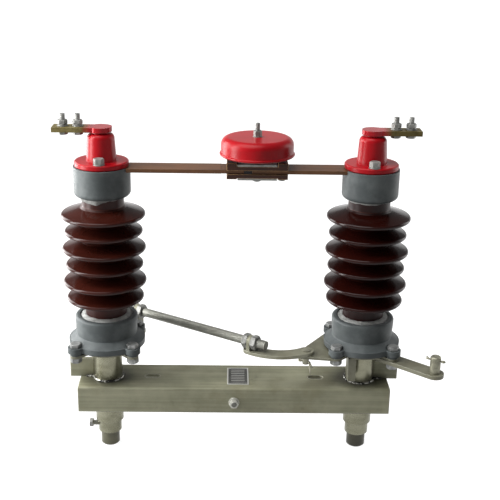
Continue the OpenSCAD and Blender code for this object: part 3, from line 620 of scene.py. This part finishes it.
def ragged_ring(outline, level, centre, sway):
    """An outline spun round the Z axis at that level, then roughened; sway makes one side longer.

    The outline's points are how far out from the porcelain's core and how far up from the level.
    """
    rough = 0.0005
    grain = 150
    sway_angle = 2.3
    part = bmesh.new()
    corners = [part.verts.new((core_r + out, 0, level + rise)) for out, rise in outline]
    edges = [part.edges.new(pair) for pair in zip(corners, corners[1:] + corners[:1])]
    bmesh.ops.spin(part, geom=corners + edges, axis=(0, 0, 1), cent=(0, 0, 0), angle=math.tau, steps=96,
                   use_merge=True)
    bmesh.ops.remove_doubles(part, verts=part.verts, dist=same_place)
    lowest = min(vert.co.z for vert in part.verts)
    for vert in part.verts:
        seed = (vert.co + centre) * grain
        vert.co += rough * noise.noise_vector(seed)
        if vert.co.z < lowest + 2 * rough:
            toward = math.atan2(vert.co.y, vert.co.x)
            vert.co.z -= sway * max(0, noise.noise(seed * 0.6) + math.cos(toward + sway_angle))
    return part


pale_mortar = mortar("pale_mortar", (0.42, 0.425, 0.41), (0.2, 0.205, 0.195))
lay_on(pale_mortar, "left_cement", "right_cement")
core_r = 0.0315
foot_outline = ((-0.001, -0.0025), (0.0085, -0.0025), (0.007, -0.0006), (0.005, 0.0002), (0.0018, 0.0016),
                (-0.001, 0.0024))
head_outline = ((-0.0006, 0.003), (0.0028, 0.003), (0.0024, 0), (0.0012, -0.0015), (-0.0006, -0.002))
for side, smear in (("left", 0.0045), ("right", 0.0012)):
    axis = middle_of(side + "_insulator")
    rim_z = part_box(side + "_base_fitting")[1].z
    head_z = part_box(side + "_top_fitting")[0].z
    mortar_shape = bmesh.new()
    add_part(mortar_shape, ragged_ring(foot_outline, rim_z, axis, 0), at(axis.x, axis.y, 0), True)
    add_part(mortar_shape, ragged_ring(head_outline, head_z, axis, smear), at(axis.x, axis.y, 0), True)
    new_piece(side + "_mortar_fillets", mortar_shape, pale_mortar, side + "_post", "cement")


# Porcelain: posts turned from one piece of clay, with six sheds, and fired under a glossy glaze.
# The glaze is dark red brown; the right post has a darker copy of it as painted shade.
# It is paler where it runs thin on the rims, and dusty on the necks.
def glaze(name, deep, thin_glaze):
    material, shader, spot = new_finish(name, Specular_IOR_Level=0.17)
    cloud = spot.noise(24, 4, 0.55)
    off_core = (spot.part("X").size() - post_x).reach(spot.part("Y")) - core_r
    dust = 1 - off_core.step(0.0005, 0.006)
    rounded, edge = spot.soft_edges(0.002)
    colour = cloud.step(0.3, 0.7).between(deep, [1.5 * c for c in deep])
    spot.feed(shader.inputs["Base Color"], (edge * 0.5).between(colour, thin_glaze))
    spot.feed(shader.inputs["Roughness"], 0.17 + dust * 0.2)
    spot.feed(shader.inputs["Normal"], cloud.bumped(0.1, 0.0006, rounded))
    return material


lay_on(glaze("brown_glaze", (0.021, 0.0042, 0.0026), (0.2, 0.06, 0.036)), "left_insulator")
# Painted shade: the right post's glaze is a darker copy of the left one's.
lay_on(glaze("shaded_brown_glaze", (0.011, 0.0017, 0.0011), (0.16, 0.042, 0.022)), "right_insulator")


# Blades and fingers: flat copper bars, tarnished brown with warmer rubbed edges, which on the fingers are
# bright enough to be a painted highlight too.
# The fingers are darker, from heat, with flat plated springs above and below.
def tarnished_copper(name, pale, deep, rubbed_and_lit_edge, edge_r):
    material, shader, spot = new_finish(name, Metallic=0.25, Specular_IOR_Level=0.25)
    cloud = spot.noise(30, 5, 0.62)
    drawn = spot.stretched(6, 180, 180).noise(1, 4, 0.6)
    rounded, edge = spot.soft_edges(edge_r)
    colour = (cloud * 0.5 + drawn * 0.5).step(0.36, 0.64).between(deep, pale)
    spot.feed(shader.inputs["Base Color"], (edge * 0.6).between(colour, rubbed_and_lit_edge))
    spot.feed(shader.inputs["Roughness"], 0.38 + cloud * 0.2)
    spot.feed(shader.inputs["Normal"], drawn.bumped(0.25, 0.0003, rounded))
    return material


lay_on(tarnished_copper("brown_copper", (0.135, 0.062, 0.028), (0.078, 0.036, 0.016), (0.25, 0.12, 0.055),
                        edge_r=0.001), "left_blade", "right_blade")
# The fingers' bright edge colour is a painted highlight as well as rubbing.
lay_on(tarnished_copper("dark_copper", (0.048, 0.016, 0.008), (0.018, 0.007, 0.004), (0.75, 0.46, 0.2),
                        edge_r=0.0016), "upper_fingers", "lower_fingers")
lay_on(bright_zinc, "pressure_springs")


# Contact bolts: one long bolt clamps springs and hood, a short one holds the fingers to the right blade.
# The long one's threaded end stands out of its nut on the hood.
contact_across = 0.011
contact_bolt_r = 0.0035
contact_nut_h = 0.0066
hood_nut_h = 0.0094
hood_washer_t = 0.0012
hood_washer_r = 1.1 * corner_r(contact_across)
hood_top_t = 0.0035
spacer_r = 0.0055
contact_pitch = 0.0011
contact_root = 0.0003
contact_crest = 0.0001
thread_in_nut = 0.0006
contact_low, contact_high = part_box("contact_bolts")
centre_x = contact_low.x + corner_r(contact_across)
finger_x = contact_high.x - corner_r(contact_across)
hood_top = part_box("rain_hood")[1].z
spring_low, spring_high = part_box("pressure_springs")
pad_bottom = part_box("lower_fingers")[0].z
pad_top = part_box("upper_fingers")[1].z
contact_shape = bmesh.new()
for x, z in ((centre_x, spring_low.z - contact_nut_h), (finger_x, pad_bottom - contact_nut_h),
             (finger_x, pad_top)):
    add_part(contact_shape, hexagon(contact_across, contact_nut_h), at(x, 0, z))
add_part(contact_shape, round_bar(hood_washer_r, hood_washer_t), at(centre_x, 0, hood_top))
add_part(contact_shape, hexagon(contact_across, hood_nut_h - hood_washer_t),
         at(centre_x, 0, hood_top + hood_washer_t))
add_part(contact_shape, round_bar(spacer_r, hood_top - hood_top_t - spring_high.z),
         at(centre_x, 0, spring_high.z), True)
add_part(contact_shape, round_bar(contact_bolt_r - contact_root, contact_high.z - spring_low.z),
         at(centre_x, 0, spring_low.z), True)
add_part(contact_shape,
         thread(contact_bolt_r + contact_crest, contact_pitch, contact_high.z - hood_top - hood_nut_h),
         at(centre_x, 0, hood_top + hood_nut_h - thread_in_nut))
add_part(contact_shape, round_bar(contact_bolt_r, pad_top - pad_bottom), at(finger_x, 0, pad_bottom), True)
new_piece("contact_bolts_and_nuts", contact_shape, bright_zinc, "right_post", "zinc_bolts", "contact_bolts")


# Caps and hood: cast bells with a flange disc, and a pressed rain hood over the contacts.
# All are under glossy red paint, and the long contact bolt holds the hood.
def gloss_paint(name, fresh, deep):
    material, shader, spot = new_finish(name, Roughness=0.32, Specular_IOR_Level=0.16)
    cloud = spot.noise(18, 4, 0.6)
    peel = spot.noise(240, 2)
    rounded, edge = spot.soft_edges(0.0015)
    colour = cloud.step(0.3, 0.7).between(deep, fresh)
    spot.feed(shader.inputs["Base Color"], (edge * 0.3).between(colour, [1.3 * c for c in fresh]))
    spot.feed(shader.inputs["Normal"], peel.bumped(0.12, 0.0004, rounded))
    return material


lay_on(gloss_paint("red_gloss_paint", (0.32, 0.0025, 0.0065), (0.25, 0.0015, 0.005)),
       "left_cap", "right_cap", "rain_hood")


# Cap bolts: two hexagon bolts on washers beside each bell, zinc plated.
# They hold the bell's disc down on the blade, through the top fitting.
cap_across = 0.014
cap_washer_t = 0.0015
for side in ("left", "right"):
    bolts = side + "_cap_bolts"
    low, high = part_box(bolts)
    washer_r = (high.x - low.x) / 2
    cap_shape = bmesh.new()
    for y in (low.y + washer_r, high.y - washer_r):
        bolt = at(middle_of(bolts).x, y, low.z)
        add_part(cap_shape, round_bar(washer_r, cap_washer_t), bolt)
        add_part(cap_shape, hexagon(cap_across, high.z - low.z - cap_washer_t), bolt @ at(0, 0, cap_washer_t))
    new_piece(side + "_cap_bolts_and_washers", cap_shape, bright_zinc, side + "_post", "zinc_bolts", bolts)


# Terminals: flat bars, olive brass at the bolted end and dipped in the caps' red at the swivel end.
# Two bolts stand up through each, with washer, spring washer, nut and a bare threaded end.
def dipped_brass(name, swivel_x, way, pale, deep):
    """Brass that starts to show between two distances from the swivel."""
    red = (0.27, 0.003, 0.007)
    red_until = 0.018
    brass_from = 0.034
    material, shader, spot = new_finish(name, Metallic=0.2, Specular_IOR_Level=0.2)
    cloud = spot.noise(60, 5, 0.65)
    bare = ((spot.part("X") - swivel_x) * way + cloud * 0.012).step(red_until, brass_from)
    brass = cloud.step(0.3, 0.7).between(deep, pale)
    rounded = spot.soft_edges(0.001)[0]
    spot.feed(shader.inputs["Base Color"], bare.between(red, brass))
    spot.feed(shader.inputs["Roughness"], 0.25 + bare * 0.25)
    spot.feed(shader.inputs["Normal"], rounded)
    return material


terminal_across = 0.013
terminal_bolt_r = 0.004
terminal_pitch = 0.00125
terminal_root = 0.0002
terminal_head_h = 0.0052
washers = ((0.0082, 0.0014), (0.0068, 0.0018))
stud_end = 0.009
# The right bar's brass is a darker copy of the left one's: painted shade.
for side, way, pale, deep in (("left", -1, (0.175, 0.145, 0.055), (0.085, 0.066, 0.02)),
                              ("right", 1, (0.1, 0.078, 0.025), (0.05, 0.037, 0.01))):
    bolts = side + "_terminal_bolts"
    low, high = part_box(bolts)
    bar_low, bar_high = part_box(side + "_terminal")
    lay_on(dipped_brass(side + "_dipped_brass", way * post_x, way, pale, deep), side + "_terminal")
    nut_top = high.z - stud_end
    stud_shape = bmesh.new()
    for x in (low.x + corner_r(terminal_across), high.x - corner_r(terminal_across)):
        z = bar_high.z
        add_part(stud_shape, hexagon(terminal_across, terminal_head_h), at(x, 0, bar_low.z - terminal_head_h))
        for washer_r, washer_t in washers:
            add_part(stud_shape, round_bar(washer_r, washer_t), at(x, 0, z))
            z += washer_t
        add_part(stud_shape, hexagon(terminal_across, nut_top - z), at(x, 0, z))
        add_part(stud_shape, round_bar(terminal_bolt_r - terminal_root, high.z - bar_low.z),
                 at(x, 0, bar_low.z), True)
        add_part(stud_shape, thread(terminal_bolt_r, terminal_pitch, stud_end),
                 at(x, 0, nut_top - thread_in_nut))
    new_piece(side + "_terminal_studs", stud_shape, bright_zinc, side + "_terminal_bar", "zinc_bolts", bolts)


# Connecting rod: round bar threaded at both ends, in zinc that has stayed greyer than the beam's.
# Two nuts hold it in each link's lug, so that its length can be set.
lay_on(dull_zinc("bright_zinc_rod", (0.26, 0.26, 0.228), (0.165, 0.165, 0.138), (0.45, 0.45, 0.4), 0.3,
                 drawn_marks), "connecting_rod")
rod_r = 0.007
rod_pitch = 0.002
rod_nut_across = 0.021
rod_nut_h = 0.009
lug_t = 0.006
rod_stub = 0.027
rod_plain_end = 0.001
rod_swing = 33
rod_slant = math.radians(rod_swing)
rod_low, rod_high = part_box("connecting_rod")
rod_length = (rod_high.x - rod_low.x - 2 * rod_r * math.sin(rod_slant)) / math.cos(rod_slant)
rod_line = at(*middle_of("connecting_rod")) @ turned(-rod_swing, "Z") @ turned(90, "Y")
rod_shape = bmesh.new()
for way in (-1, 1):
    lug = way * (rod_length / 2 - rod_stub)
    for start in (lug - lug_t / 2 - rod_nut_h, lug + lug_t / 2):
        add_part(rod_shape, hexagon(rod_nut_across, rod_nut_h), rod_line @ at(0, 0, start) @ turned(30, "Z"))
    outer = lug + way * (lug_t / 2 + rod_nut_h)
    ridge = rod_stub - lug_t / 2 - rod_nut_h - rod_plain_end
    add_part(rod_shape, thread(rod_r + thread_proud, rod_pitch, ridge),
             rod_line @ at(0, 0, outer if way > 0 else outer - ridge))
new_piece("rod_nuts_and_threads", rod_shape, bright_zinc, "connecting_link", "zinc_bolts", "rod_nuts")


# Floor and light: a wide pale floor with a far wall round it, an even sky and a soft sun from the upper left.
# Two tall soft boxes on the left give the reflections that run down the round pieces.
# A weak one behind on the right fills the shaded side.
floor_r = 10
wall_h = 3
floor_mesh = bpy.data.meshes.new("floor")
shape = bmesh.new()
rim = bmesh.ops.create_circle(shape, cap_ends=True, segments=96, radius=floor_r,
                              matrix=at(0, 0, cad_box[0].z))["verts"]
wall_top = rim_of(bmesh.ops.extrude_edge_only(shape, edges=edges_at(rim))["geom"])[0]
bmesh.ops.translate(shape, vec=(0, 0, wall_h), verts=wall_top)
shape.to_mesh(floor_mesh)
shape.free()
floor = bpy.data.objects.new("floor", floor_mesh)
bpy.context.collection.objects.link(floor)
paper, paper_shader, paper_spot = new_finish("white_paper", Roughness=0.9, Emission_Strength=0.94)
paper_shader.inputs["Base Color"].default_value = (0.2, 0.2, 0.2, 1)
seen = paper_spot.node("LightPath", out="Is Camera Ray")
for ray in ("Is Glossy Ray", "Is Transmission Ray"):
    seen = seen + paper_spot.node("LightPath", out=ray)
paper_spot.feed(paper_shader.inputs["Emission Color"], seen.between((0, 0, 0), (1, 1, 1)))
floor_mesh.materials.append(paper)

sky = bpy.data.worlds.new("even_sky")
bpy.context.scene.world = sky
sky.use_nodes = True
sky.node_tree.nodes["Background"].inputs["Color"].default_value = (1, 1, 1, 1)
sky.node_tree.nodes["Background"].inputs["Strength"].default_value = 0.27


def add_lamp(name, kind, place, target, energy, **settings):
    lamp = bpy.data.objects.new(name, bpy.data.lights.new(name, kind))
    lamp.data.energy = energy
    for setting, value in settings.items():
        setattr(lamp.data, setting, value)
    lamp.location = place
    lamp.rotation_euler = (Vector(target) - Vector(place)).to_track_quat("-Z", "Y").to_euler()
    bpy.context.collection.objects.link(lamp)


middle = (0, 0, 0.16)
add_lamp("soft_sun", "SUN", (-0.7, -0.25, 2.2), middle, 3, angle=math.radians(50))
add_lamp("left_box", "AREA", (-1.15, -0.2, 0.5), middle, 33, shape="RECTANGLE", size=0.4, size_y=1.4)
add_lamp("rear_left_box", "AREA", (-1.3, 0.8, 0.45), middle, 34, shape="RECTANGLE", size=0.8, size_y=1.5)
add_lamp("right_fill", "AREA", (1.7, 0.7, 0.6), middle, 10, shape="RECTANGLE", size=0.8, size_y=1.5)
bpy.context.scene.view_settings.view_transform = "Standard"


# Camera: on the front side, a little above the object, as the photograph was taken.
# It looks down at the beam and leans very slightly.
camera_place = Vector((-0.0132, -1.4168, 0.7178))
camera_yaw = math.radians(0.82)
camera_pitch = math.radians(19.51)
camera_roll = math.radians(0.85)
ahead = Vector((math.sin(camera_yaw) * math.cos(camera_pitch), math.cos(camera_yaw) * math.cos(camera_pitch),
                -math.sin(camera_pitch)))
level = Vector((math.cos(camera_yaw), -math.sin(camera_yaw), 0))
over = level.cross(ahead)
right = math.cos(camera_roll) * level + math.sin(camera_roll) * over
up = math.cos(camera_roll) * over - math.sin(camera_roll) * level
camera = bpy.data.objects.new("camera", bpy.data.cameras.new("camera"))
camera.data.sensor_width = 36
camera.data.lens = 70.83
camera.data.shift_x = 0.0194
camera.data.shift_y = 0.0046
camera.matrix_world = Matrix.Translation(camera_place) @ Matrix((right, up, -ahead)).transposed().to_4x4()
bpy.context.collection.objects.link(camera)
bpy.context.scene.camera = camera
